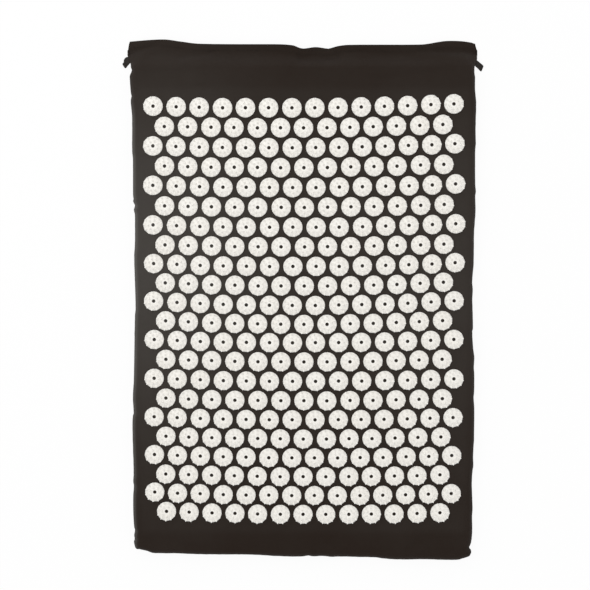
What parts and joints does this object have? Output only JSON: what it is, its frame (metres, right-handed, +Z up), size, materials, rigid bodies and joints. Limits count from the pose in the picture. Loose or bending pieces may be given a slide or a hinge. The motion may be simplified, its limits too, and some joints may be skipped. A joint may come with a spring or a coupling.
{
  "type": "acupressure mat",
  "caption": "Thin foam mat in a dark sewn cloth cover, open at the head end, with staggered rows of spiked off-white plastic rosettes on its upper side.",
  "frame": {"origin": "on the floor, under the middle of the mat's overall box", "axes": "+X to the mat's right as it is seen from above with its open end at the top, +Y along the mat towards its open head end, +Z up out of the rosettes"},
  "size_m": [0.4588, 0.66, 0.025],
  "materials": {
    "cover_cloth": "plain woven cotton, dyed a warm near-black",
    "rosette_plastic": "moulded off-white plastic with a soft shine",
    "foam": "open-cell polyurethane foam, pale cream",
    "hook_tape": "woven nylon tape with stiff hooks, black",
    "loop_tape": "brushed nylon loop tape, black",
    "sewing_thread": "polyester sewing thread, black",
    "tab_tape": "flat cotton tape, near-black"
  },
  "bodies": {
    "cover": {"front_panel": "cover_cloth", "back_panel": "cover_cloth", "left_side_seam": "cover_cloth", "right_side_seam": "cover_cloth", "foot_seam": "cover_cloth", "back_hem": "cover_cloth", "hook_patch": "hook_tape", "rosette_row_01": "rosette_plastic", "rosette_row_02": "rosette_plastic", "rosette_row_03": "rosette_plastic", "rosette_row_04": "rosette_plastic", "rosette_row_05": "rosette_plastic", "rosette_row_06": "rosette_plastic", "rosette_row_07": "rosette_plastic", "rosette_row_08": "rosette_plastic", "rosette_row_09": "rosette_plastic", "rosette_row_10": "rosette_plastic", "rosette_row_11": "rosette_plastic", "rosette_row_12": "rosette_plastic", "rosette_row_13": "rosette_plastic", "rosette_row_14": "rosette_plastic", "rosette_row_15": "rosette_plastic", "rosette_row_16": "rosette_plastic", "rosette_row_17": "rosette_plastic", "rosette_row_18": "rosette_plastic", "rosette_row_19": "rosette_plastic", "rosette_row_20": "rosette_plastic", "rosette_row_21": "rosette_plastic", "rosette_row_22": "rosette_plastic"},
    "foam_insert": {"foam_pad": "foam"},
    "mouth": {"mouth_flap": "cover_cloth", "front_hem": "cover_cloth", "front_hem_thread": "sewing_thread", "loop_patch": "loop_tape"},
    "left_tab": {"left_tape_tab": "tab_tape"},
    "right_tab": {"right_tape_tab": "tab_tape"}
  },
  "joints": [
    {"name": "foam_slide", "type": "slide", "parent": "cover", "child": "foam_insert", "axis": [0, 1, 0], "range_m": [0, 0.648], "deforming": ["mouth_flap", "front_hem", "front_hem_thread", "loop_patch", "hook_patch"]},
    {"name": "mouth_hinge", "type": "hinge", "parent": "cover", "child": "mouth", "pos_m": [0, 0.2937, 0.0202], "axis": [1, 0, 0], "range_deg": [0, 28]},
    {"name": "left_tab_hinge", "type": "hinge", "parent": "cover", "child": "left_tab", "pos_m": [-0.21844, 0.3027, 0.00664], "axis": [0, 1, 0], "range_deg": [0, 110]},
    {"name": "right_tab_hinge", "type": "hinge", "parent": "cover", "child": "right_tab", "pos_m": [0.21844, 0.3027, 0.00664], "axis": [0, -1, 0], "range_deg": [0, 110]}
  ]
}
